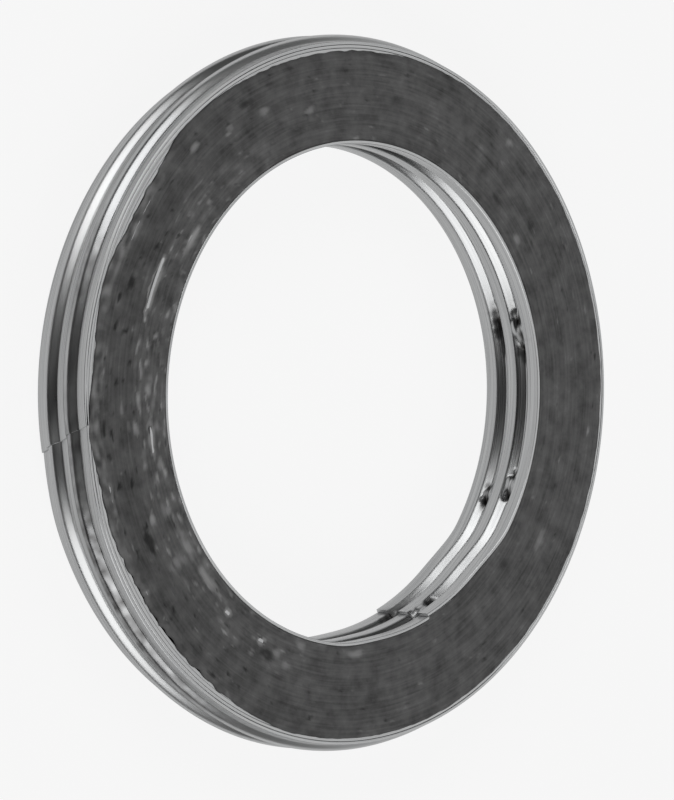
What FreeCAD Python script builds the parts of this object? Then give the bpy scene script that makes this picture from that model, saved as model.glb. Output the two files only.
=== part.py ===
# Exhaust ring gasket: a thin metal strip with two ridges, wound together with a graphite filler.
# The ring lies flat. The origin is at the middle of its lower face, and Z is its axis.
# Directions are angles about Z, counted from X towards Y.
import FreeCAD, Part
import os
import Sketcher

doc = FreeCAD.newDocument("exhaust_gasket")

# Driving sizes, in millimetres and degrees
SIZES = [
    ("bore_diameter", 32.0, "inside the bore turn, clear of its free end"),
    ("ring_width", 7.0, "from the bore to the crests of the outer turn"),
    ("filler_height", 5.0, "from face to face"),
    ("bore_rim_height", 4.9, "of the strip in the bore"),
    ("outer_rim_height", 4.5, "of the strip on the outside"),
    ("strip_thickness", 0.2, "of the sheet metal"),
    ("ridge_depth", 0.46, "of the groove behind each ridge"),
    ("ridge_width", 1.0, "of that groove at its mouth"),
    ("land_width", 0.87, "of the flat between the two grooves"),
    ("winding_gap", 0.02, "between one layer and the next"),
    ("lap_angle", 9.0, "of the free end that laps over the bore turn"),
    ("joggle_angle", 16.0, "over which the strip steps from one layer to the next"),
    ("seam_angle", 1.0, "left open between an end of the strip and what it faces"),
    ("bore_end_direction", 294.5, "where the free end in the bore lies"),
    ("outer_end_direction", 188.5, "where the free end on the outside lies"),
]
sheet = doc.addObject("Spreadsheet::Sheet", "sizes")
for row, (name, value, note) in enumerate(SIZES, start=1):
    sheet.set(f"A{row}", name)
    sheet.set(f"B{row}", str(value))
    sheet.set(f"C{row}", note)
    sheet.setAlias(f"B{row}", name)
doc.recompute()

# Formulas that several pieces share
MIDDLE = "sizes.filler_height / 2"
RIDGE_PITCH = "(sizes.ridge_width + sizes.land_width)"
FLANK_ANGLE = "atan(2 * sizes.ridge_depth / sizes.ridge_width)"
LAYER = "(sizes.strip_thickness + sizes.winding_gap)"
BORE_RADIUS = "(sizes.bore_diameter / 2)"
LAP_RADIUS = f"({BORE_RADIUS} - {LAYER})"
CREST = f"(sizes.ridge_depth + sizes.strip_thickness / cos({FLANK_ANGLE}))"
OUTER_TURN_RADIUS = f"({BORE_RADIUS} + sizes.ring_width - {CREST})"


def side(radius, offset, height):
    """Corners of a side that lies at an offset from the strip's inner side, low to high.

    Each corner is a pair of formulas: its distance from the axis and its height."""
    flat = f"{radius} + {offset}"
    crest = f"{radius} + sizes.ridge_depth + {offset} / cos({FLANK_ANGLE})"
    half_ridge = f"(sizes.ridge_width / 2 + {offset} * tan({FLANK_ANGLE} / 2))"
    corners = [(flat, f"{MIDDLE} - {height} / 2")]
    for sign in ("-", "+"):
        centre = f"{MIDDLE} {sign} {RIDGE_PITCH} / 2"
        corners.append((flat, f"{centre} - {half_ridge}"))
        corners.append((crest, centre))
        corners.append((flat, f"{centre} + {half_ridge}"))
    corners.append((flat, f"{MIDDLE} + {height} / 2"))
    return corners


def strip_section(radius, height):
    """The strip cut across: its inner side, and its outer side one thickness further out."""
    inside = side(radius, "0", height)
    outside = side(radius, "sizes.strip_thickness", height)
    return inside + outside[::-1]


def value_of(formula):
    """What a formula gives now, so that a sketch is drawn where it will lie."""
    result = sheet.evalExpression(formula)
    return float(getattr(result, "Value", result))


def dimension(sketch, kind, first, second, formula):
    """A sketch dimension between two points that follows a formula."""
    constraint = Sketcher.Constraint(kind, *first, *second, value_of(formula))
    number = sketch.addConstraint(constraint)
    sketch.setExpression(f"Constraints[{number}]", formula)


def upright_sketch(body, name, corners, direction):
    """A closed outline in the plane that holds the axis and points in a direction."""
    sketch = body.newObject("Sketcher::SketchObject", name)
    plane = next(p for p in body.Origin.OriginFeatures if p.Role == "XZ_Plane")
    sketch.AttachmentSupport = [(plane, "")]
    sketch.MapMode = "FlatFace"
    about_axis = FreeCAD.Rotation(FreeCAD.Vector(0, 1, 0), 1)
    sketch.AttachmentOffset = FreeCAD.Placement(FreeCAD.Vector(), about_axis)
    sketch.setExpression("AttachmentOffset.Rotation.Angle", direction)
    points = [FreeCAD.Vector(value_of(x), value_of(z), 0) for x, z in corners]
    count = len(points)
    for k in range(count):
        sketch.addGeometry(Part.LineSegment(points[k], points[(k + 1) % count]), False)
    for k in range(count):
        sketch.addConstraint(Sketcher.Constraint("Coincident", k, 2, (k + 1) % count, 1))
    origin = (-1, 1)
    for k, (x, z) in enumerate(corners):
        dimension(sketch, "DistanceX", origin, (k, 1), x)
        dimension(sketch, "DistanceY", origin, (k, 1), z)
    return sketch


def add_axis(sketch, distance):
    """A construction line parallel to the ring's axis, to turn the sketch about."""
    foot = FreeCAD.Vector(value_of(distance), 0, 0)
    head = FreeCAD.Vector(foot.x, value_of(MIDDLE), 0)
    line = sketch.addGeometry(Part.LineSegment(foot, head), True)
    sketch.addConstraint(Sketcher.Constraint("Vertical", line))
    sketch.addConstraint(Sketcher.Constraint("PointOnObject", line, 1, -1))
    dimension(sketch, "DistanceX", (-1, 1), (line, 1), distance)
    dimension(sketch, "DistanceY", (line, 1), (line, 2), MIDDLE)


def turn(body, name, sketch, axis, sweep, backwards=False):
    """Part of a turn, made by revolving a section of the strip or filler."""
    feature = body.newObject("PartDesign::Revolution", name)
    feature.Profile = sketch
    feature.ReferenceAxis = (sketch, [axis])
    feature.setExpression("Angle", sweep)
    feature.Reversed = backwards


# Bore turn
# Its free end lies one layer inside the round turn. Between the two, the strip steps out
# over two equal arcs, which are tangent to each other and to both layers.
bore_turn = doc.addObject("PartDesign::Body", "bore_turn")
bore_turn.Label = "bore_turn"
HALF_STEP = "sizes.joggle_angle / 2"
CENTRE_SHIFT = f"({LAYER} / (2 * (1 - cos({HALF_STEP}))))"
STEP_START = "sizes.bore_end_direction + sizes.lap_angle"
lap_section = upright_sketch(
    bore_turn, "lap_section", strip_section(LAP_RADIUS, "sizes.bore_rim_height"), STEP_START
)
add_axis(lap_section, f"-{CENTRE_SHIFT}")
bore_section = upright_sketch(
    bore_turn,
    "bore_section",
    strip_section(BORE_RADIUS, "sizes.bore_rim_height"),
    f"{STEP_START} + sizes.joggle_angle",
)
add_axis(bore_section, CENTRE_SHIFT)
doc.recompute()
turn(bore_turn, "lapping_end", lap_section, "V_Axis", "sizes.lap_angle", backwards=True)
turn(bore_turn, "step_out", lap_section, "Axis0", HALF_STEP)
turn(bore_turn, "step_level", bore_section, "Axis0", HALF_STEP, backwards=True)
turn(bore_turn, "round_turn", bore_section, "V_Axis", "360 - sizes.joggle_angle - sizes.seam_angle")

# Outer turn, open at the seam where the strip ends
outer_turn = doc.addObject("PartDesign::Body", "outer_turn")
outer_turn.Label = "outer_turn"
outer_section = upright_sketch(
    outer_turn,
    "outer_section",
    strip_section(OUTER_TURN_RADIUS, "sizes.outer_rim_height"),
    "sizes.outer_end_direction",
)
doc.recompute()
turn(outer_turn, "last_turn", outer_section, "V_Axis", "360 - sizes.seam_angle", backwards=True)

# The two bare turns are the ends of one strip
steel_strip = doc.addObject("Part::Compound", "steel_strip")
steel_strip.Label = "steel_strip"
steel_strip.Links = [bore_turn, outer_turn]

# Graphite filler
# It fits the ridges of the strip on both sides, and its faces stand proud of the rims.
graphite_filler = doc.addObject("PartDesign::Body", "graphite_filler")
graphite_filler.Label = "graphite_filler"
against_bore = side(BORE_RADIUS, LAYER, "sizes.filler_height")
against_outside = side(OUTER_TURN_RADIUS, "-sizes.winding_gap", "sizes.filler_height")
filler_section = upright_sketch(
    graphite_filler, "filler_section", against_bore + against_outside[::-1], "0"
)
doc.recompute()
turn(graphite_filler, "filler_ring", filler_section, "V_Axis", "360")

doc.recompute()
for thing in doc.Objects:
    if "Invalid" in thing.State or "Error" in thing.State:
        raise RuntimeError(f"{thing.Name} failed: {thing.State}")

os.makedirs("parts", exist_ok=True)
for piece in (steel_strip, graphite_filler):
    if piece.Shape.isNull() or not piece.Shape.isValid():
        raise RuntimeError(f"{piece.Label} has no valid shape")
    piece.Shape.exportStep(f"parts/{piece.Label}.step")
    box = piece.Shape.BoundBox
    print(f"{piece.Label}: solids {len(piece.Shape.Solids)}, {piece.Shape.Volume:.1f} mm3")
    print(f"  x {box.XMin:.2f} to {box.XMax:.2f}, z {box.ZMin:.2f} to {box.ZMax:.2f}")
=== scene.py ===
# %% [markdown]
# # Exhaust ring gasket
# A thin bright steel strip with two ridges pressed along it is wound on itself like a clock
# spring, with a dark graphite tape between its middle turns. The bare first turn lines the
# bore, two bare turns make the outside, and the edges of the graphite make the sealing faces.
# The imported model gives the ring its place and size, and everything here is built around it.

# %% Load the frame
import math

import bmesh
import bpy
from mathutils import Matrix, Vector, noise


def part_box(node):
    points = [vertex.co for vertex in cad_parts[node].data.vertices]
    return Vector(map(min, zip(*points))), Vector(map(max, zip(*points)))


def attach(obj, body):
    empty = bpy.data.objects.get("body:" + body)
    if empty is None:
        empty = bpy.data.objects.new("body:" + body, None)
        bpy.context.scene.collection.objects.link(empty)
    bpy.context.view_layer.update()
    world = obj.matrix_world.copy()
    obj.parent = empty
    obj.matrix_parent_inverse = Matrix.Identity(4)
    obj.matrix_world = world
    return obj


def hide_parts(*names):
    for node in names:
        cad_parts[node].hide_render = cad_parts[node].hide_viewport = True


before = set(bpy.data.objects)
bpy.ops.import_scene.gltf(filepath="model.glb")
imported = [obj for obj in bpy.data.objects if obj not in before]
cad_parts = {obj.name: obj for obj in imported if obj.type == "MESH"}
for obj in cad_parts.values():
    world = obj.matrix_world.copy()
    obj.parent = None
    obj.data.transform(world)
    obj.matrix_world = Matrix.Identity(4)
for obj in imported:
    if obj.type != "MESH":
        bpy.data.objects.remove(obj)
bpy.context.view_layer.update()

# %% [markdown]
# ## Sizes
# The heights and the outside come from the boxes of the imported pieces. The other sizes are
# real ones in millimetres, as on the solid, and each later cell uses them by name. Only the
# ridges are a little deeper, wider and further apart here, to look right with soft crests.

# %% Sizes
MM = 0.001
filler_low, filler_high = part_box("graphite_filler")
strip_low, strip_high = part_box("steel_strip")
MIDDLE = (filler_low[2] + filler_high[2]) / 2
FACE_HEIGHT = filler_high[2] - filler_low[2]
BORE_RIM_HEIGHT = strip_high[2] - strip_low[2]
OUTER_RIM_HEIGHT = 4.5 * MM
OUTER_RADIUS = strip_high[0]
BORE_RADIUS = 16.0 * MM
THICKNESS = 0.2 * MM
GAP = 0.02 * MM
LAYER = THICKNESS + GAP
RIDGE_DEPTH = 0.56 * MM
RIDGE_HALF_WIDTH = 0.52 * MM
RIDGE_PITCH = 1.9 * MM
# Directions of the strip's two ends, counted from X towards Y. Then angles: how far the free
# end laps over the bore turn, how long the strip takes to step out by one layer, and how
# much is left open at a seam.
BORE_END = math.radians(294.5)
OUTER_END = math.radians(188.5)
LAP = math.radians(9)
JOGGLE = math.radians(16)
SEAM = math.radians(1)
FULL_TURN = 2 * math.pi
print(f"faces {FACE_HEIGHT / MM:.2f} mm apart, outside {2 * OUTER_RADIUS / MM:.2f} mm across")

# %% [markdown]
# ## Helpers for nodes and colours
# Shader trees and geometry trees are both lists of nodes with settings and links, so one
# small function adds a node to either. Another turns a written sRGB colour into the linear
# values that the shaders work with.

# %% Node and colour helpers
def add(tree, kind, inputs=None, **settings):
    """Adds a node. Each input is a value, or an output socket to link from."""
    node = tree.nodes.new(kind)
    for name, value in settings.items():
        setattr(node, name, value)
    for key, value in (inputs or {}).items():
        if isinstance(value, bpy.types.NodeSocket):
            tree.links.new(value, node.inputs[key])
        else:
            node.inputs[key].default_value = value
    return node


def math_node(tree, operation, *values):
    """Adds a calculation with one or two values, and gives its output socket."""
    kind = "ShaderNodeMath"
    return add(tree, kind, dict(enumerate(values)), operation=operation).outputs[0]


def linear(hex_colour):
    """An sRGB colour such as '808080' as linear red, green, blue and alpha."""
    channels = [int(hex_colour[k:k + 2], 16) / 255 for k in (0, 2, 4)]
    return [c / 12.92 if c <= 0.04045 else ((c + 0.055) / 1.055) ** 2.4 for c in channels] + [1]


print(f"a grey of 808080 is {linear('808080')[0]:.3f} in linear values")

# %% [markdown]
# ## Patterns along the winding
# Both finishes have fine lines that follow the turns. Plain object coordinates would draw
# them straight across the ring, and an angle would leave a seam where it starts again. So a
# pattern is read from the distance to the axis and the height, which change fast, and from
# the two parts of the direction, which change slowly and have no seam.

# %% Coordinates that follow the winding
def winding_coordinates(tree, across, along):
    """Object coordinates as (outwards plus upwards, direction in X, direction in Y)."""
    place = add(tree, "ShaderNodeTexCoord").outputs["Object"]
    split = add(tree, "ShaderNodeSeparateXYZ", {0: place})
    flat = add(tree, "ShaderNodeCombineXYZ", {0: split.outputs[0], 1: split.outputs[1]}).outputs[0]
    radius = add(tree, "ShaderNodeVectorMath", {0: flat}, operation="LENGTH").outputs["Value"]
    unit = add(tree, "ShaderNodeVectorMath", {0: flat}, operation="NORMALIZE").outputs[0]
    direction = add(tree, "ShaderNodeSeparateXYZ", {0: unit})
    out = math_node(tree, "MULTIPLY", radius, across)
    height = math_node(tree, "MULTIPLY", split.outputs[2], across)
    lift = math_node(tree, "ADD", out, height)
    x = math_node(tree, "MULTIPLY", direction.outputs[0], along)
    y = math_node(tree, "MULTIPLY", direction.outputs[1], along)
    return add(tree, "ShaderNodeCombineXYZ", {0: lift, 1: x, 2: y}).outputs[0]


# %% [markdown]
# ## Steel strip finish
# The strip is cold-rolled stainless steel, bright from the rolls, with very fine lines along
# its length. A metallic surface of medium-low roughness gives its soft highlights, and a
# stretched noise gives the lines. Real rolling lines are finer than a pixel, so they are
# drawn coarse enough to show. Where an attribute on the mesh says so, the steel is dark:
# burnt at the welds, and painted shade on a stretch of the outer ridge and in the hollow
# under the strip's free end.

# %% Steel material
ROLLING_LINE = 0.08 * MM
LINE_LENGTH = 9 * MM


def cold_rolled_steel():
    material = bpy.data.materials.new("cold_rolled_steel")
    material.use_nodes = True
    tree = material.node_tree
    surface = tree.nodes["Principled BSDF"]
    surface.inputs["Metallic"].default_value = 1.0
    lines = winding_coordinates(tree, 1 / ROLLING_LINE, BORE_RADIUS / LINE_LENGTH)
    grain = add(tree, "ShaderNodeTexNoise", {"Vector": lines, "Scale": 1.0, "Detail": 1.5})
    tone = add(tree, "ShaderNodeMapRange", {
        "Value": grain.outputs[0], "From Min": 0.3, "From Max": 0.7, "To Min": 0.0, "To Max": 1.0,
    })
    colour = add(tree, "ShaderNodeMix", {
        "Factor": tone.outputs[0], "A": linear("A9AAAB"), "B": linear("C9CACA"),
    }, data_type="RGBA")
    # Darkest where the attribute says: burnt at the welds, painted shade on the outer ridge and
    # under the free end.
    burnt_and_shade = add(tree, "ShaderNodeAttribute", attribute_name="burnt_and_shade").outputs["Fac"]
    scorched_and_shaded = add(tree, "ShaderNodeMix", {
        "Factor": burnt_and_shade, "A": colour.outputs["Result"], "B": linear("2E2C2B"),
    }, data_type="RGBA")
    tree.links.new(scorched_and_shaded.outputs["Result"], surface.inputs["Base Color"])
    rough = add(tree, "ShaderNodeMapRange", {
        "Value": grain.outputs[0], "From Min": 0.3, "From Max": 0.7, "To Min": 0.25, "To Max": 0.34,
    })
    tree.links.new(rough.outputs[0], surface.inputs["Roughness"])
    bump = add(tree, "ShaderNodeBump", {
        "Height": grain.outputs[0], "Strength": 0.05, "Distance": 0.02 * MM,
    })
    tree.links.new(bump.outputs[0], surface.inputs["Normal"])
    return material


steel = cold_rolled_steel()
print("made", steel.name)

# %% [markdown]
# ## Graphite finish
# The filler is pressed flexible graphite: nearly black, dull, a little greasy, with fine
# streaks along the winding where the tape's edges were sheared, pale scuffs, and pits. A
# mottle and the streaks together pick the grey. An attribute on the mesh makes it paler above
# nought, and below nought darker as painted shade in the pits, so the colour of a scuff or a
# pit falls on its relief.

# %% Graphite material
STREAK_WIDTH = 0.16 * MM
STREAK_LENGTH = 3.5 * MM
MOTTLE = 1.3 * MM


def pressed_graphite():
    material = bpy.data.materials.new("pressed_graphite")
    material.use_nodes = True
    tree = material.node_tree
    surface = tree.nodes["Principled BSDF"]
    place = add(tree, "ShaderNodeTexCoord").outputs["Object"]
    mottle = add(tree, "ShaderNodeTexNoise", {
        "Vector": place, "Scale": 1 / MOTTLE, "Detail": 4.0, "Roughness": 0.6,
    })
    streaks = add(tree, "ShaderNodeTexNoise", {
        "Vector": winding_coordinates(tree, 1 / STREAK_WIDTH, BORE_RADIUS / STREAK_LENGTH),
        "Scale": 1.0, "Detail": 2.0, "Roughness": 0.55,
    })
    both = math_node(tree, "MULTIPLY", mottle.outputs[0], 0.65)
    both = math_node(tree, "ADD", both, math_node(tree, "MULTIPLY", streaks.outputs[0], 0.35))
    ramp = add(tree, "ShaderNodeValToRGB", {0: both})
    stops = [
        (0.28, "3E3E3E"), (0.42, "5A5A5A"), (0.52, "686868"), (0.62, "747474"), (0.74, "8C8C8C"),
    ]
    while len(ramp.color_ramp.elements) < len(stops):
        ramp.color_ramp.elements.new(1.0)
    for element, (position, colour) in zip(ramp.color_ramp.elements, stops):
        element.position = position
        element.color = linear(colour)
    scuff_and_pit_shade = add(tree, "ShaderNodeAttribute", attribute_name="scuff_and_pit_shade").outputs["Fac"]
    # Below nought the attribute mixes in painted shade, near black, in the pits of the face.
    torn = math_node(tree, "MULTIPLY", scuff_and_pit_shade, -1.0)
    pit_shaded = add(tree, "ShaderNodeMix", {
        "Factor": torn, "A": ramp.outputs[0], "B": linear("141414"),
    }, data_type="RGBA").outputs["Result"]
    rubbed = add(tree, "ShaderNodeMix", {
        "Factor": scuff_and_pit_shade, "A": pit_shaded, "B": linear("E2E2E2"),
    }, data_type="RGBA")
    tree.links.new(rubbed.outputs["Result"], surface.inputs["Base Color"])
    surface.inputs["Roughness"].default_value = 0.62
    surface.inputs["Specular IOR Level"].default_value = 0.35
    bump = add(tree, "ShaderNodeBump", {
        "Height": streaks.outputs[0], "Strength": 0.5, "Distance": 0.04 * MM,
    })
    tree.links.new(bump.outputs[0], surface.inputs["Normal"])
    return material


graphite = pressed_graphite()
print("made", graphite.name)

# %% [markdown]
# ## Section of the strip
# Cut across, the strip is a thin sheet with two rounded ridges that bulge outwards. It could
# be drawn by hand, but a triangle averaged over a short width gives the straight flanks with
# soft feet and crests that a roller presses into sheet metal. The second side lies one
# thickness out along the sheet's normal.

# %% Strip section
RIDGE_STEPS = 8
RIM_ROUNDING = 0.02 * MM
# The triangle is averaged over these shifts, in half widths. The feet of a ridge reach out
# further by the largest of them.
SOFTENING = (-0.2, -0.1, 0, 0.1, 0.2)
RIDGE_REACH = 1 + SOFTENING[-1]


def ridge_offset(z):
    """How far the sheet bulges outwards at a height above the middle."""
    bulge = 0.0
    for centre in (-RIDGE_PITCH / 2, RIDGE_PITCH / 2):
        reach = (z - centre) / RIDGE_HALF_WIDTH
        bulge += sum(max(0, 1 - abs(reach + aside)) for aside in SOFTENING) / len(SOFTENING)
    return RIDGE_DEPTH * bulge


def strip_section(height):
    """Closed outline of the ridged section as (outwards, upwards) points about its middle."""
    heights = [-height / 2, RIM_ROUNDING - height / 2]
    for centre in (-RIDGE_PITCH / 2, RIDGE_PITCH / 2):
        for k in range(-RIDGE_STEPS, RIDGE_STEPS + 1):
            heights.append(centre + RIDGE_REACH * RIDGE_HALF_WIDTH * k / RIDGE_STEPS)
    heights += [height / 2 - RIM_ROUNDING, height / 2]
    inside = [Vector((ridge_offset(z), z)) for z in heights]
    outside = []
    for k, point in enumerate(inside):
        along = inside[min(k + 1, len(inside) - 1)] - inside[max(k - 1, 0)]
        normal = Vector((along.y, -along.x)).normalized()
        outside.append(point + normal * THICKNESS)
    for rim in (0, -1):
        inside[rim].x += RIM_ROUNDING
        outside[rim].x -= RIM_ROUNDING
    return outside + inside[::-1]


def plain_section(height):
    """A flat strip's section, for turns of which only the rims can be seen."""
    half = height / 2
    return [(THICKNESS, -half), (THICKNESS, half), (0, half), (0, -half)]


def section_curve(name, points):
    """A closed poly curve that the geometry nodes can sweep."""
    curve = bpy.data.curves.new(name, "CURVE")
    curve.dimensions = "3D"
    spline = curve.splines.new("POLY")
    spline.points.add(len(points) - 1)
    for place, (outwards, upwards) in zip(spline.points, points):
        place.co = (outwards, upwards, 0, 1)
    spline.use_cyclic_u = True
    curve_object = bpy.data.objects.new(name, curve)
    bpy.context.collection.objects.link(curve_object)
    return curve_object


print(f"a ridge stands {ridge_offset(RIDGE_PITCH / 2) / MM:.2f} mm out from the flat sheet")

# %% [markdown]
# ## Winding the strip
# A wound strip follows one rule: it runs round the axis, and steps out by one layer each
# turn. So geometry nodes draw its path from a few named inputs, and sweep the section along
# it. Besides the step there is a dent, a stretch that is pressed towards the axis. The same
# tree makes the bore turn with its lapped end, the turns outside and the buried ones.

# %% Winding tree
def winding_tree():
    tree = bpy.data.node_groups.new("wound_strip", "GeometryNodeTree")
    face = tree.interface
    face.new_socket("Section", in_out="INPUT", socket_type="NodeSocketObject")
    for name in ("Start", "Sweep", "Radius", "Layer", "Step Start", "Step Angle", "Dent",
                 "Dent Direction", "Dent Half Angle", "Dent Fade", "Middle"):
        face.new_socket(name, in_out="INPUT", socket_type="NodeSocketFloat")
    face.new_socket("Points", in_out="INPUT", socket_type="NodeSocketInt")
    face.new_socket("Material", in_out="INPUT", socket_type="NodeSocketMaterial")
    face.new_socket("Geometry", in_out="OUTPUT", socket_type="NodeSocketGeometry")
    given = tree.nodes.new("NodeGroupInput").outputs
    line = add(tree, "GeometryNodeCurvePrimitiveLine", {"End": (0, 0, 1)})
    path = add(tree, "GeometryNodeResampleCurve", {
        "Curve": line.outputs[0], "Count": given["Points"],
    })
    factor = add(tree, "GeometryNodeSplineParameter").outputs["Factor"]
    travelled = math_node(tree, "MULTIPLY", factor, given["Sweep"])
    angle = math_node(tree, "ADD", travelled, given["Start"])
    turns = math_node(tree, "FLOOR", math_node(tree, "DIVIDE", travelled, FULL_TURN))
    within = math_node(tree, "MODULO", travelled, FULL_TURN)
    step_end = math_node(tree, "ADD", given["Step Start"], given["Step Angle"])
    step = add(tree, "ShaderNodeMapRange", {
        "Value": within, "From Min": given["Step Start"], "From Max": step_end,
        "To Min": 0.0, "To Max": 1.0,
    }, interpolation_type="SMOOTHSTEP")
    layers = math_node(tree, "ADD", turns, step.outputs[0])
    aside = math_node(tree, "SUBTRACT", angle, given["Dent Direction"])
    dent_end = math_node(tree, "ADD", given["Dent Half Angle"], given["Dent Fade"])
    dent = add(tree, "ShaderNodeMapRange", {
        "Value": math_node(tree, "COSINE", aside), "From Min": math_node(tree, "COSINE", dent_end),
        "From Max": math_node(tree, "COSINE", given["Dent Half Angle"]),
        "To Min": 0.0, "To Max": given["Dent"],
    }, interpolation_type="SMOOTHSTEP")
    steps = math_node(tree, "MULTIPLY", layers, given["Layer"])
    radius = math_node(tree, "ADD", given["Radius"], steps)
    radius = math_node(tree, "SUBTRACT", radius, dent.outputs[0])
    x = math_node(tree, "MULTIPLY", radius, math_node(tree, "COSINE", angle))
    y = math_node(tree, "MULTIPLY", radius, math_node(tree, "SINE", angle))
    place = add(tree, "ShaderNodeCombineXYZ", {0: x, 1: y, 2: given["Middle"]})
    wound = add(tree, "GeometryNodeSetPosition", {
        "Geometry": path.outputs[0], "Position": place.outputs[0],
    })
    upright = add(tree, "GeometryNodeSetCurveNormal", {"Curve": wound.outputs[0]}, mode="Z_UP")
    section = add(tree, "GeometryNodeObjectInfo", {"Object": given["Section"]})
    swept = add(tree, "GeometryNodeCurveToMesh", {
        "Curve": upright.outputs[0], "Profile Curve": section.outputs["Geometry"],
        "Fill Caps": True,
    })
    real = add(tree, "GeometryNodeRealizeInstances", {"Geometry": swept.outputs[0]})
    done = add(tree, "GeometryNodeSetMaterial", {
        "Geometry": real.outputs[0], "Material": given["Material"],
    })
    out = tree.nodes.new("NodeGroupOutput")
    tree.links.new(done.outputs[0], out.inputs[0])
    return tree


# %% [markdown]
# ## From a tree to a mesh
# The tree runs as a modifier on an empty mesh. Its result is copied to a plain mesh and the
# modifier is taken off, because later cells move single points of it. Each piece is then
# measured, to see how big it is and whether it is closed.

# %% Running a tree
SHARP_ANGLE = math.radians(40)


def run_tree(name, tree, values):
    """Runs a geometry tree on an empty mesh, and keeps the result as a plain mesh object."""
    piece = bpy.data.objects.new(name, bpy.data.meshes.new(name))
    bpy.context.collection.objects.link(piece)
    modifier = piece.modifiers.new("build", "NODES")
    modifier.node_group = tree
    for item in tree.interface.items_tree:
        if item.in_out == "INPUT" and item.name in values:
            modifier[item.identifier] = values[item.name]
    depsgraph = bpy.context.evaluated_depsgraph_get()
    mesh = bpy.data.meshes.new_from_object(piece.evaluated_get(depsgraph))
    piece.modifiers.remove(modifier)
    piece.data = mesh
    mesh.name = name
    mesh.shade_smooth()
    mesh.set_sharp_from_angle(angle=SHARP_ANGLE)
    return piece


def report(piece):
    """Prints how big a piece is, and whether its surface is closed."""
    places = [vertex.co for vertex in piece.data.vertices]
    reach = [math.hypot(place.x, place.y) for place in places]
    heights = [place.z for place in places]
    shell = bmesh.new()
    shell.from_mesh(piece.data)
    triangles = sum(len(face.verts) - 2 for face in shell.faces)
    open_edges = sum(not edge.is_manifold for edge in shell.edges)
    volume = shell.calc_volume(signed=True) / MM ** 3
    shell.free()
    print(f"{piece.name}: {triangles} triangles, {open_edges} open edges, {volume:.0f} cubic mm")
    print(f"  radius {min(reach) / MM:.2f} to {max(reach) / MM:.2f} mm,"
          f" z {min(heights) / MM:.2f} to {max(heights) / MM:.2f} mm")


winding = winding_tree()
print(winding.name, "has", len(winding.nodes), "nodes")

# %% [markdown]
# ## Bore turn
# The strip starts in the bore. Its free end lies one layer further in than the round turn,
# ridge in ridge, and the lap as a whole is pressed a little into the bore. The strip runs on
# nearly straight past the lap before it steps out, so the step begins later than the lap ends.

# %% Build the bore turn
LAP_DENT = 0.2 * MM
DENT_MIDDLE = math.radians(297)
DENT_HALF_ANGLE = math.radians(17)
DENT_FADE = math.radians(14)
STEP_START = math.radians(17)
BORE_POINTS = 1100
bore_section = section_curve("bore_section", strip_section(BORE_RIM_HEIGHT))
bore_turn = run_tree("bore_turn", winding, {
    "Section": bore_section, "Start": BORE_END, "Sweep": FULL_TURN + LAP - SEAM,
    "Radius": BORE_RADIUS - LAYER, "Layer": LAYER, "Step Start": STEP_START, "Step Angle": JOGGLE,
    "Dent": LAP_DENT, "Dent Direction": DENT_MIDDLE, "Dent Half Angle": DENT_HALF_ANGLE,
    "Dent Fade": DENT_FADE, "Middle": MIDDLE, "Points": BORE_POINTS, "Material": steel,
})
report(bore_turn)

# %% [markdown]
# ## Places on the ring
# Weld marks, stretches of painted shade on the ridge and torn edges all lie round a direction
# and fade out towards their ends. Directions start again after a full turn, so
# the angle between two of them is taken the short way round.

# %% Helpers for places on the ring
def smooth_window(distance, half_width):
    """One at the middle of a place, and nought at its ends."""
    reach = min(abs(distance) / half_width, 1)
    return (1 - reach * reach) ** 2


def angle_between(first, second):
    """From the second direction to the first in degrees, the short way round."""
    return (first - second + 180) % 360 - 180


print("from 350 to 10 degrees is", angle_between(10, 350))

# %% [markdown]
# ## Weld marks and painted shade
# The bore turn is held by spot welds, which leave small burnt pits in its grooves: two pairs
# on the side away from the lap, and one pair at the lap. The hollow under the strip's free end
# is darkened the same way, as painted shade. The mesh is pushed there by a rule, which needs
# no painted picture. A point attribute keeps where the metal is burnt or shaded, so that the
# steel can be dark in the same places.

# %% Press the weld marks
# Direction in degrees, height in mm, half length and half height in mm, and how far the
# metal is pushed outwards in mm. The crushed places are pushed inwards.
CRUSHED = [
    (16.0, 0.98, 1.9, 0.5, -0.32), (-21.0, 0.98, 1.3, 0.5, -0.3),
    (-23.5, -0.9, 1.1, 0.45, -0.26), (-62.0, 0.9, 1.0, 0.55, -0.26),
]
# The mark at minus 66 degrees is no weld: it is painted shade, the dark hollow under the strip's
# free end.
BURNT_AND_SHADE = [
    (17.3, -0.98, 1.45, 0.42, 0.15), (12.8, -0.92, 0.9, 0.26, 0.08),
    (18.2, 0.9, 0.5, 0.3, 0.12), (15.0, 1.12, 0.55, 0.28, 0.12),
    (11.2, 0.95, 0.9, 0.34, 0.14), (-25.6, -1.0, 0.7, 0.3, 0.12),
    (-22.0, -1.12, 0.4, 0.2, 0.06), (-18.6, 0.95, 0.35, 0.3, 0.06),
    (-23.8, 1.02, 0.6, 0.32, 0.14), (-66.0, -1.0, 0.85, 0.5, 0.14),
    (-61.5, -0.95, 0.6, 0.24, 0.06), (-58.2, 0.98, 0.7, 0.4, 0.2),
]
# How ragged the outline of a mark is, how many lumps it has in a millimetre, and how far it
# is darkened from its middle, as a share of its size.
RAGGED, LUMPS = 0.4, 2.2
DARKENED_REACH = 1.3


def place_reach(place, degrees, height, radius):
    """How far a point is from the middle of a mark, as a share of the mark's size."""
    direction, up, half_length, half_height = place[:4]
    along = math.radians(angle_between(degrees, direction)) * radius / MM
    rough = 1 + RAGGED * noise.noise(Vector((along * LUMPS, height * LUMPS, direction)))
    return math.hypot(along / half_length, (height - up) / half_height) * rough


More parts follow.
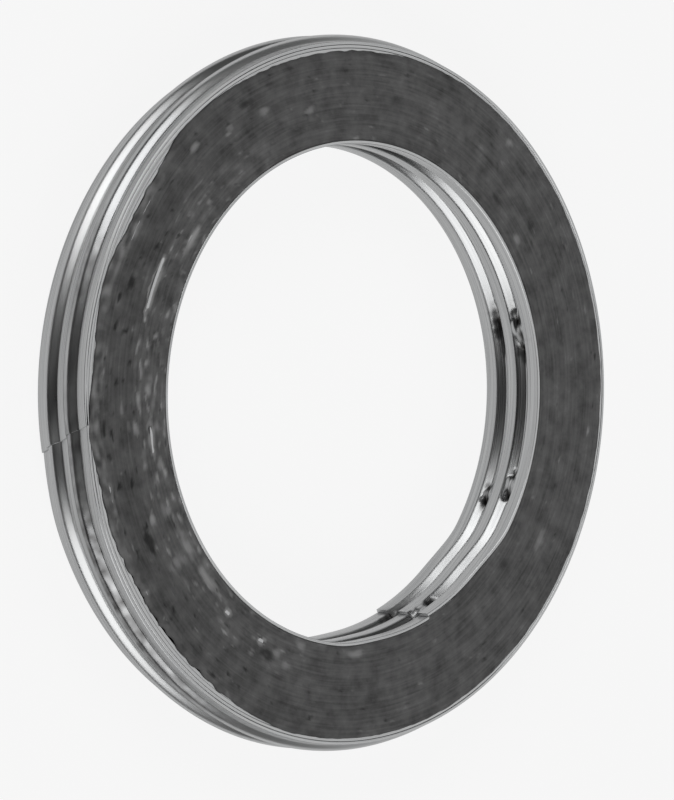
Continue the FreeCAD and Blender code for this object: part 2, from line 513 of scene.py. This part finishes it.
def press_weld_and_shade_marks(piece):
    """Pushes the metal in or out at each mark, and keeps how dark it is there: scorched at a weld,
    painted shade in the hollow under the free end.
    """
    burnt_and_shade = piece.data.attributes.new("burnt_and_shade", "FLOAT", "POINT")
    for vertex in piece.data.vertices:
        place = vertex.co
        radius = math.hypot(place.x, place.y)
        degrees = math.degrees(math.atan2(place.y, place.x))
        height = (place.z - MIDDLE) / MM
        push = mark = 0.0
        for spot in CRUSHED + BURNT_AND_SHADE:
            reach = place_reach(spot, degrees, height, radius)
            if reach < 1:
                push += spot[4] * MM * (1 - reach * reach) ** 2
            if spot in BURNT_AND_SHADE:
                mark = max(mark, DARKENED_REACH - reach)
        place.x *= 1 + push / radius
        place.y *= 1 + push / radius
        burnt_and_shade.data[vertex.index].value = min(max(mark, 0), 1)


press_weld_and_shade_marks(bore_turn)
print(len(CRUSHED), "crushed places and", len(BURNT_AND_SHADE), "burnt ones")

# %% [markdown]
# ## Outer turns
# The last turns have no graphite between them, so their rims show side by side as bare
# metal. The strip ends on the outside, just before the place where it steps out. The tree
# cuts it off square, so the slant of its end is made afterwards, by moving the last points.

# %% Build the outer turns
OUTER_POINTS = 1100
OUTER_TURNS = 2
CREST = ridge_offset(RIDGE_PITCH / 2) + THICKNESS
LAST_RADIUS = OUTER_RADIUS - CREST
outer_section = section_curve("outer_section", strip_section(OUTER_RIM_HEIGHT))
outer_turns = run_tree("outer_turns", winding, {
    "Section": outer_section, "Start": OUTER_END, "Sweep": OUTER_TURNS * FULL_TURN,
    "Radius": LAST_RADIUS - OUTER_TURNS * LAYER, "Layer": LAYER, "Step Start": 0.0,
    "Step Angle": JOGGLE, "Dent": 0.0, "Middle": MIDDLE, "Points": OUTER_POINTS,
    "Material": steel,
})
# The end is shaped over this share of the strip, slanted by this angle for each metre of
# height, and pressed down this far.
END_SHARE = 0.04
END_SLANT = math.radians(4.6) / OUTER_RIM_HEIGHT
PRESSED_END = 0.17 * MM


def slant_end(piece):
    """Makes the strip end in a slanting cut, with its upper corner pressed down."""
    section_size = len(piece.data.vertices) // OUTER_POINTS
    for vertex in piece.data.vertices:
        travel = (vertex.index // section_size) / (OUTER_POINTS - 1)
        share = max(0, (travel - 1 + END_SHARE) / END_SHARE)
        height = vertex.co.z - MIDDLE
        vertex.co = Matrix.Rotation(-share * END_SLANT * height, 3, "Z") @ vertex.co
        inwards = PRESSED_END * share ** 4 * (0.75 + 0.5 * height / OUTER_RIM_HEIGHT)
        shrink = 1 - inwards / LAST_RADIUS
        vertex.co.x *= shrink
        vertex.co.y *= shrink


slant_end(outer_turns)
report(outer_turns)

# %% [markdown]
# ## Shaded ridge
# On the lower left, and for a little way above, the ridge beside the face is darker, as painted
# shade where less light falls, and it is dimpled. The same two means as for the weld marks do
# it, a small push and the attribute that darkens the steel.

# %% Shade and dimple the upper ridge
# Direction and half width in degrees, and how dark the painted shade on the ridge is there.
RIDGE_SHADE = [(213, 44, 0.75), (163, 14, 0.45)]
# Height of the ridge above the middle in mm, and how far from it the dimples reach.
UPPER_RIDGE = RIDGE_PITCH / 2 / MM
RIDGE_SIDE = 0.6
# How many dimples there are in a mm along and across, and half the depth of a deep one.
BEADS_ALONG, BEADS_ACROSS = 1.6, 2.5
DIMPLE = 0.04 * MM


def shade_and_dimple_ridge(piece):
    """Dimples the stretches of the ridge beside the face, and darkens them with painted shade."""
    burnt_and_shade = piece.data.attributes.new("burnt_and_shade", "FLOAT", "POINT")
    for vertex in piece.data.vertices:
        place = vertex.co
        height = (place.z - MIDDLE) / MM
        if abs(height - UPPER_RIDGE) > RIDGE_SIDE:
            continue
        degrees = math.degrees(math.atan2(place.y, place.x))
        share = max(darkest_shade * smooth_window(angle_between(degrees, centre), half_width)
                    for centre, half_width, darkest_shade in RIDGE_SHADE)
        along = math.radians(degrees) * OUTER_RADIUS / MM
        beads = noise.noise(Vector((along * BEADS_ALONG, height * BEADS_ACROSS, 0)))
        burnt_and_shade.data[vertex.index].value = share * (0.8 + 0.8 * beads)
        shrink = 1 - DIMPLE * share * (1 + beads) / OUTER_RADIUS
        place.x *= shrink
        place.y *= shrink


shade_and_dimple_ridge(outer_turns)
print("dulled", len(RIDGE_SHADE), "stretches of the ridge")

# %% [markdown]
# ## Buried turns
# Between the bore turn and the outside the strip runs on through the graphite. Only its rims
# can ever be seen: two bare ones beside the outer turns, and the others where the graphite is
# worn. A flat strip is enough for both. The edge turns step out where the outer ones do, and
# the others wind as a plain spiral. How many there are can't be seen, so that is a guess.

# %% Build the edge turns
EDGE_TURNS = 2
EDGE_POINTS = 720
EDGE_RADIUS = LAST_RADIUS - (OUTER_TURNS + EDGE_TURNS) * LAYER
EDGE_RIM_HEIGHT = OUTER_RIM_HEIGHT - 0.04 * MM
edge_section = section_curve("edge_section", plain_section(EDGE_RIM_HEIGHT))
edge_turns = run_tree("edge_turns", winding, {
    "Section": edge_section, "Start": OUTER_END, "Sweep": EDGE_TURNS * FULL_TURN,
    "Radius": EDGE_RADIUS, "Layer": LAYER, "Step Start": 0.0, "Step Angle": JOGGLE,
    "Dent": 0.0, "Middle": MIDDLE, "Points": EDGE_POINTS, "Material": steel,
})
report(edge_turns)

# %% Build the buried turns
BURIED_TURNS = 8
BURIED_POINTS = 2400
BURIED_DEPTH = 0.075 * MM
BURIED_START = BORE_RADIUS + 0.9 * MM
buried_section = section_curve("buried_section", plain_section(FACE_HEIGHT - 2 * BURIED_DEPTH))
buried_turns = run_tree("buried_turns", winding, {
    "Section": buried_section, "Start": BORE_END, "Sweep": BURIED_TURNS * FULL_TURN,
    "Radius": BURIED_START, "Layer": (EDGE_RADIUS - LAYER - BURIED_START) / BURIED_TURNS,
    "Step Start": 0.0, "Step Angle": FULL_TURN, "Dent": 0.0, "Middle": MIDDLE,
    "Points": BURIED_POINTS, "Material": steel,
})
report(buried_turns)

# %% [markdown]
# ## The strip in the frame
# All these turns are one strip on the real ring, and one node in the imported model. So each
# piece rides the only body and takes the place of that node. The outlines that were swept are
# not needed any more.

# %% Ride the strip
for curve_object in (bore_section, outer_section, edge_section, buried_section):
    bpy.data.objects.remove(curve_object)
for piece in (bore_turn, outer_turns, edge_turns, buried_turns):
    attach(piece, "root")
    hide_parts("steel_strip")
    print(piece.name, "rides root")

# %% [markdown]
# ## Graphite filler
# The filler is a ring of pressed graphite, squeezed a little over the rims of the outer turns,
# and torn back from them along the left. Its faces are not smooth: they have fine ridges along
# the winding, chips, and worn places where a buried rim of the strip glints. It could be a
# plain ring with a bump pattern, but real relief lets the buried rims come out by themselves.
# So the ring is a grid: loops round the section, one after the other round the axis.

# %% Filler rules
FACE_STEPS = 52
RING_STEPS = 620
EDGE_WALL = EDGE_RADIUS - GAP
FILLER_REACH = BORE_RADIUS + 6.12 * MM
# Torn places at the outer edge: direction and half width in degrees, and how far it is torn.
BARE = [(148, 15, 1.0), (175, 12, 0.55), (198, 11, 0.5), (224, 34, 0.9), (104, 34, 0.4)]
# Frayed places, where the edge slopes gently: direction and half width in degrees.
FRAYED = [(158, 28), (190, 34)]
# Worn places on the face: distance from the axis in mm, the directions they run between,
# and how strongly they are worn. A place below nought is a pit, sunk and painted dark as shade.
WORN = [
    (18.45, 152, 167, 1.3), (17.1, 143, 152, 0.8), (20.8, 132, 136, 0.75),
    (20.0, 124, 127, 0.4), (19.6, 115, 118, 0.5), (18.5, 104, 107, 0.45),
    (17.6, 179, 182, 0.7), (18.7, 186, 189, 0.7), (17.5, 185, 195, 0.75),
    (19.8, 190, 194, 0.45), (17.1, 194, 198, 0.45), (18.8, 204, 207, 0.8),
    (17.4, 204, 207, 0.5), (18.4, 214, 217, 0.45), (20.0, 211, 213, 0.4),
    (17.2, 211, 218, 0.55), (17.1, 218, 229, 0.7), (17.5, 231, 234, 0.8),
    (21.3, 215, 217, 0.6), (17.6, 242, 245, 0.9), (17.7, 247, 250, 0.5),
    (16.7, 253, 256, 0.45), (16.7, 268, 273, 0.5), (18.2, 250, 253, 0.4),
    (19.0, 328, 333, 0.4), (21.1, 52, 54, 0.5), (17.2, 36, 39, 0.5),
    (19.6, 206, 212, -1.0), (18.1, 244, 248, -1.0), (20.7, 119, 122, -0.6),
    (17.5, 46, 50, -0.6), (20.2, 160, 163, -0.9),
]
WORN_HALF_WIDTH = 0.33
# The side of the face that was rubbed most: direction and half width in degrees.
RUBBED_SIDE = (190, 110)
# How far the edge is drawn back where it is torn, how high its waves are, and in mm its teeth,
# everywhere and where it is torn.
DRAWN_BACK = 0.5 * MM
EDGE_WAVE = 0.06 * MM
TEETH, BARE_TEETH = 0.04, 0.17
LEAST_LEDGE = 0.03 * MM
# Depths in mm: of fine ridges and broad hollows, and of worn places, flecks and pits.
RIDGE_RELIEF, HOLLOW_RELIEF = 0.007, 0.018
WORN_RELIEF, FLECK_RELIEF, PIT_RELIEF = 0.13, 0.09, 0.06
# A fleck, cloud or pit shows where its noise is stronger than this.
FLECK_START, CLOUD_START, PIT_START = 0.6, 0.2, 0.58
# How much lower that limit is on the rubbed side, and the change of it towards the bore.
MORE_FLECKS, INNER_FLECKS = 0.22, 0.16
MORE_PITS, INNER_PITS = 0.2, -0.12
INNER_REACH = 19.4 * MM
# How pale clouds and worn places are, how dark the painted shade in pits is and may be, and
# how dark the outer part of the rubbed side is.
CLOUD_PALE, WORN_PALE = 0.38, 0.6
PIT_SHADE, DARKEST_PIT_SHADE, OUTER_DARK = 3, 0.7, 0.18


def smooth_step(value):
    """Rises gently from nought to one."""
    value = min(max(value, 0), 1)
    return value * value * (3 - 2 * value)


def against_bore_turn(direction):
    """Where the filler begins: just outside the bore turn, in its dent and step too."""
    gone = (direction - BORE_END) % FULL_TURN
    step = LAYER * (1 - smooth_step((gone - STEP_START) / JOGGLE)) if gone > LAP else 0
    outermost = math.cos(DENT_HALF_ANGLE + DENT_FADE)
    aside = math.cos(direction - DENT_MIDDLE)
    dent = LAP_DENT * smooth_step((aside - outermost) / (math.cos(DENT_HALF_ANGLE) - outermost))
    return BORE_RADIUS + THICKNESS + GAP - step - dent


def smeared_over_rim(direction):
    """How far the graphite is smeared inwards over the rim of the turn behind the lap."""
    gone = (direction - BORE_END) % FULL_TURN
    return LAYER if gone < LAP else 0.0


def noise_at(radius, direction, z, across, along):
    """Noise that is stretched along the winding, from minus one to one.

    Patterns differ in the height that they are read at or in scale, so none repeats another."""
    return noise.noise(Vector((
        (radius + z) / across,
        BORE_RADIUS * math.cos(direction) / along,
        BORE_RADIUS * math.sin(direction) / along,
    )))


def bare(direction, side):
    """How far the outer edge is drawn back in a direction, from nought to one."""
    if side < 0:
        return 0.0
    degrees = math.degrees(direction)
    most = max(share * smooth_window(angle_between(degrees, centre), half_width)
               for centre, half_width, share in BARE)
    return min(1.3 * most, 1)


def frayed(direction, side):
    """How gently the outer edge slopes in a direction, from nought to one."""
    if side < 0:
        return 0.0
    degrees = math.degrees(direction)
    return max(smooth_window(angle_between(degrees, centre), half_width)
               for centre, half_width in FRAYED)


def filler_edge(direction, side):
    """How far out the face reaches in a direction."""
    torn = bare(direction, side)
    edge = FILLER_REACH - DRAWN_BACK * torn
    edge += EDGE_WAVE * noise_at(side * 40 * MM, direction, 0, 1 * MM, 1.1 * MM)
    teeth = noise_at(side * 50 * MM, direction, 0, MM, 0.4 * MM)
    edge += (TEETH + BARE_TEETH * torn ** 2) * MM * teeth
    return max(edge, EDGE_WALL + LEAST_LEDGE)


def worn(radius, direction, side):
    """How much a point of the face is worn by rubbing, or below nought how deep a pit is, which is
    also painted dark as shade.
    """
    if side < 0:
        return 0.0
    degrees = math.degrees(direction)
    rough = 1 + 0.5 * noise_at(radius, direction, 0, 0.3 * MM, 0.45 * MM)
    total = 0.0
    for place, start, end, strength in WORN:
        aside = (radius / MM - place) / WORN_HALF_WIDTH
        if abs(aside) < 2:
            along = angle_between(degrees, (start + end) / 2) / ((end - start) / 2)
            reach = math.hypot(aside, along) * rough
            total += strength * max(0, 1 - reach * reach)
    return total


def face_drop(radius, direction, side):
    """How far the face lies below its highest level, and how light or dark it is: pale where
    rubbed, and dark with painted shade in its pits.
    """
    layer = side * 7 * MM
    drop = RIDGE_RELIEF * MM * (1 + noise_at(radius, direction, layer, 0.2 * MM, 2.0 * MM))
    drop += HOLLOW_RELIEF * MM * (1 + noise_at(radius, direction, layer, 0.8 * MM, 1.2 * MM))
    centre, half_width = RUBBED_SIDE
    rubbing = smooth_window(angle_between(math.degrees(direction), centre), half_width)
    inner = min(max((INNER_REACH - radius) / MM, 0), 1)
    fleck = noise_at(radius, direction, 5 * layer, 0.28 * MM, 0.65 * MM)
    cloud = noise_at(radius, direction, 9 * layer, 0.5 * MM, 0.9 * MM)
    light = max(0, fleck - FLECK_START + rubbing * (MORE_FLECKS + INNER_FLECKS * inner))
    cloudy = max(0, cloud - CLOUD_START) * rubbing
    pit = noise_at(radius, direction, 3 * layer, 0.3 * MM, 0.5 * MM)
    dark = max(0, pit - PIT_START + rubbing * (MORE_PITS + INNER_PITS * inner))
    wear = worn(radius, direction, side)
    rubbed = max(wear, 0)
    dark += max(-wear, 0) / PIT_SHADE
    drop += WORN_RELIEF * MM * rubbed ** 2 + FLECK_RELIEF * MM * light + PIT_RELIEF * MM * dark
    lightness = max(light, CLOUD_PALE * cloudy, WORN_PALE * rubbed)
    # The darkness of the pits is painted shade in their hollows.
    darkness = min(PIT_SHADE * dark, DARKEST_PIT_SHADE)
    return drop, lightness - darkness - OUTER_DARK * rubbing * (1 - inner)


print(len(WORN), "places are worn or pitted")

# %% [markdown]
# ## The filler itself
# Each loop runs over the upper face from the bore outwards, down the wall against the edge
# turns, back over the lower face, and up the wall against the bore turn, which bulges with
# its ridges. The loops are joined into one closed grid of four-sided faces. Each point keeps
# its tone, from which the graphite is pale where it is scuffed, and dark with painted shade in
# its pits.

# %% Build the filler
# How much graphite stands above a rim that it covers.
FILM = 0.01 * MM
# Over what width the face drops at its outer edge, how much wider where it is frayed, and how
# far it drops there. Then the same at the bore.
BEVEL, FRAYED_BEVEL, BEVEL_DROP = 0.25 * MM, 0.55 * MM, 0.2 * MM
BORE_BEVEL, BORE_DROP = 0.1 * MM, 0.03 * MM
# How pale a frayed edge is in all, everywhere and in patches.
FRAY_PALE, FRAY_EVEN, FRAY_PATCHES = 0.28, 0.35, 1.3
# Steps of half the wall, and how far the ridges are widened so that it stays clear of them.
WALL_STEPS = 10
RIDGE_CLEARANCE = 0.15 * MM


def filler_loop(direction):
    """The section of the filler in one direction: distance from axis, height, and how pale it is
    scuffed or dark with painted shade.
    """
    inner = against_bore_turn(direction)
    face_start = inner - smeared_over_rim(direction)
    rim_height = OUTER_RIM_HEIGHT / 2 + FILM
    film_height = BORE_RIM_HEIGHT / 2 + FILM
    points = []
    for side in (1, -1):
        outer = filler_edge(direction, side)
        fray = frayed(direction, side)
        bevel = BEVEL + FRAYED_BEVEL * fray
        face = []
        for k in range(FACE_STEPS + 1):
            radius = face_start + (outer - face_start) * k / FACE_STEPS
            drop, scuff_and_pit_shade = face_drop(radius, direction, side)
            from_edge = (outer - radius) / bevel
            if from_edge < 1:
                drop += BEVEL_DROP * (1 - from_edge) ** 1.5
                patches = noise_at(radius, direction, side * 60 * MM, 0.3 * MM, 0.5 * MM)
                pale = FRAY_PALE * fray * (FRAY_EVEN + FRAY_PATCHES * patches)
                scuff_and_pit_shade = max(scuff_and_pit_shade, pale * min(3 - 3 * from_edge, 1))
            from_bore = (radius - face_start) / BORE_BEVEL
            if from_bore < 1:
                drop += BORE_DROP * (1 - from_bore) ** 2
            lowest = film_height if radius < inner else rim_height
            height = max(FACE_HEIGHT / 2 - drop, lowest)
            face.append((radius, side * height, scuff_and_pit_shade))
        face += [(outer, side * rim_height, 0), (EDGE_WALL, side * rim_height, 0)]
        face = [(inner, side * film_height, 0), (face_start, side * film_height, 0)] + face
        points += face if side > 0 else face[::-1]
    for k in range(1 - WALL_STEPS, WALL_STEPS):
        z = k * FACE_HEIGHT / 2 / WALL_STEPS
        bulge = max(ridge_offset(z + d) for d in (-RIDGE_CLEARANCE, 0, RIDGE_CLEARANCE))
        points.append((inner + bulge, z, 0))
    return points


def build_filler():
    """Joins the loops round the axis into one closed mesh."""
    places, scuffs_and_pit_shades = [], []
    for k in range(RING_STEPS):
        direction = FULL_TURN * k / RING_STEPS
        for radius, height, scuff_and_pit_shade in filler_loop(direction):
            x, y = radius * math.cos(direction), radius * math.sin(direction)
            places.append((x, y, MIDDLE + height))
            scuffs_and_pit_shades.append(scuff_and_pit_shade)
    count = len(places) // RING_STEPS
    faces = []
    for i in range(RING_STEPS):
        here, there = i * count, (i + 1) % RING_STEPS * count
        for k in range(count):
            after = (k + 1) % count
            faces.append((here + k, here + after, there + after, there + k))
    mesh = bpy.data.meshes.new("filler")
    mesh.from_pydata(places, [], faces)
    mesh.attributes.new("scuff_and_pit_shade", "FLOAT", "POINT").data.foreach_set("value", scuffs_and_pit_shades)
    mesh.materials.append(graphite)
    mesh.shade_smooth()
    piece = bpy.data.objects.new("filler", mesh)
    bpy.context.collection.objects.link(piece)
    return piece


filler = build_filler()
report(filler)
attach(filler, "root")
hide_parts("graphite_filler")

# %% [markdown]
# ## Camera
# The camera takes the view of the photograph. It looks down on the ring from 48 degrees, and
# is rolled so that the ring stands upright in the picture. Its lens is worked out from the
# size of the ring's rim in pixels, and its shift puts the ring in its place.

# %% Camera
PHOTO_WIDTH, PHOTO_HEIGHT = 674, 800
VIEW_TILT = math.radians(42.05)
VIEW_ROLL = math.radians(-1.61)
RIM_RADIUS = 22.46 * MM
CAMERA_DISTANCE = 12.25 * RIM_RADIUS
PIXELS_PER_RIM_RADIUS = 348.5
RING_CENTRE_PIXEL = (334.55, 392.9)
SENSOR = 36.0
NEAREST_SEEN = 0.01


def photo_camera():
    data = bpy.data.cameras.new("photo_camera")
    camera = bpy.data.objects.new("photo_camera", data)
    bpy.context.collection.objects.link(camera)
    towards = Vector((-math.sin(VIEW_TILT), 0, math.cos(VIEW_TILT)))
    right = Vector((math.cos(VIEW_TILT), 0, math.sin(VIEW_TILT)))
    up = Vector((0, 1, 0))
    cam_right = math.cos(VIEW_ROLL) * right - math.sin(VIEW_ROLL) * up
    cam_up = math.sin(VIEW_ROLL) * right + math.cos(VIEW_ROLL) * up
    turned = Matrix((cam_right, cam_up, towards)).transposed().to_4x4()
    centre = Vector((0, 0, MIDDLE))
    camera.matrix_world = Matrix.Translation(centre + towards * CAMERA_DISTANCE) @ turned
    focal_pixels = PIXELS_PER_RIM_RADIUS * CAMERA_DISTANCE / RIM_RADIUS
    data.sensor_fit = "VERTICAL"
    data.sensor_height = SENSOR
    data.lens = focal_pixels * SENSOR / PHOTO_HEIGHT
    data.shift_x = (PHOTO_WIDTH / 2 - RING_CENTRE_PIXEL[0]) / PHOTO_HEIGHT
    data.shift_y = (RING_CENTRE_PIXEL[1] - PHOTO_HEIGHT / 2) / PHOTO_HEIGHT
    data.clip_start = NEAREST_SEEN
    return camera


camera = photo_camera()
bpy.context.scene.camera = camera
print(f"lens {camera.data.lens:.1f} mm, {CAMERA_DISTANCE / MM:.0f} mm from the ring")

# %% [markdown]
# ## Floor
# The ring lies on a matt white card. The camera and the polished metal see the card mostly as
# plain white light, so it is bright without more lamps. All other light falls on it as on a
# card, so it throws some back at the ring.

# %% Floor
FLOOR_REACH = 1.5
FLOOR_CORNERS = [(-1, -1), (1, -1), (1, 1), (-1, 1)]
# How much of the card is seen as plain white light.
WHITE_TO_CAMERA, WHITE_TO_METAL = 0.88, 0.58


def floor_plane():
    mesh = bpy.data.meshes.new("floor")
    corners = [(x * FLOOR_REACH, y * FLOOR_REACH, 0) for x, y in FLOOR_CORNERS]
    mesh.from_pydata(corners, [], [(0, 1, 2, 3)])
    floor = bpy.data.objects.new("floor", mesh)
    bpy.context.collection.objects.link(floor)
    material = bpy.data.materials.new("pale_floor")
    material.use_nodes = True
    tree = material.node_tree
    surface = tree.nodes["Principled BSDF"]
    surface.inputs["Base Color"].default_value = linear("E6E6E6")
    surface.inputs["Roughness"].default_value = 0.9
    surface.inputs["Specular IOR Level"].default_value = 0.0
    glow = add(tree, "ShaderNodeEmission", {"Color": linear("FFFFFF"), "Strength": 1.0})
    rays = add(tree, "ShaderNodeLightPath")
    by_camera = math_node(tree, "MULTIPLY", rays.outputs["Is Camera Ray"], WHITE_TO_CAMERA)
    by_gloss = math_node(tree, "MULTIPLY", rays.outputs["Is Glossy Ray"], WHITE_TO_METAL)
    share = math_node(tree, "MAXIMUM", by_camera, by_gloss)
    mixed = add(tree, "ShaderNodeMixShader", {0: share, 1: surface.outputs[0], 2: glow.outputs[0]})
    tree.links.new(mixed.outputs[0], tree.nodes["Material Output"].inputs["Surface"])
    mesh.materials.append(material)
    return floor


floor = floor_plane()
print("made", floor.name)

# %% [markdown]
# ## Light
# The ridges are narrow mirrors, and each large soft lamp shows in them as a long bright
# stretch. Two lamps stand on either side of the ring, and a third one stands across from the
# camera. The world adds only a trace of light.

# %% Lamps and world
def soft_lamp(name, place, size, power):
    """A flat lamp that faces the ring. Place and size are in metres, and power in watts."""
    data = bpy.data.lights.new(name, "AREA")
    data.shape = "RECTANGLE"
    data.size, data.size_y = size
    data.energy = power
    lamp = bpy.data.objects.new(name, data)
    bpy.context.collection.objects.link(lamp)
    lamp.location = place
    lamp.rotation_euler = (Vector((0, 0, 0)) - Vector(place)).to_track_quat("-Z", "Y").to_euler()
    print("made", name)


soft_lamp("upper_lamp", (-0.3, 0.62, 0.5), (0.66, 0.42), 2.1)
soft_lamp("lower_lamp", (-0.22, -0.62, 0.48), (0.82, 0.46), 2.5)
soft_lamp("far_lamp", (0.62, 0.0, 0.68), (0.9, 0.6), 1.5)

world = bpy.data.worlds.new("studio")
bpy.context.scene.world = world
world.use_nodes = True
background = world.node_tree.nodes["Background"]
background.inputs["Color"].default_value = linear("FFFFFF")
background.inputs["Strength"].default_value = 0.02

scene = bpy.context.scene
scene.view_settings.view_transform = "Standard"
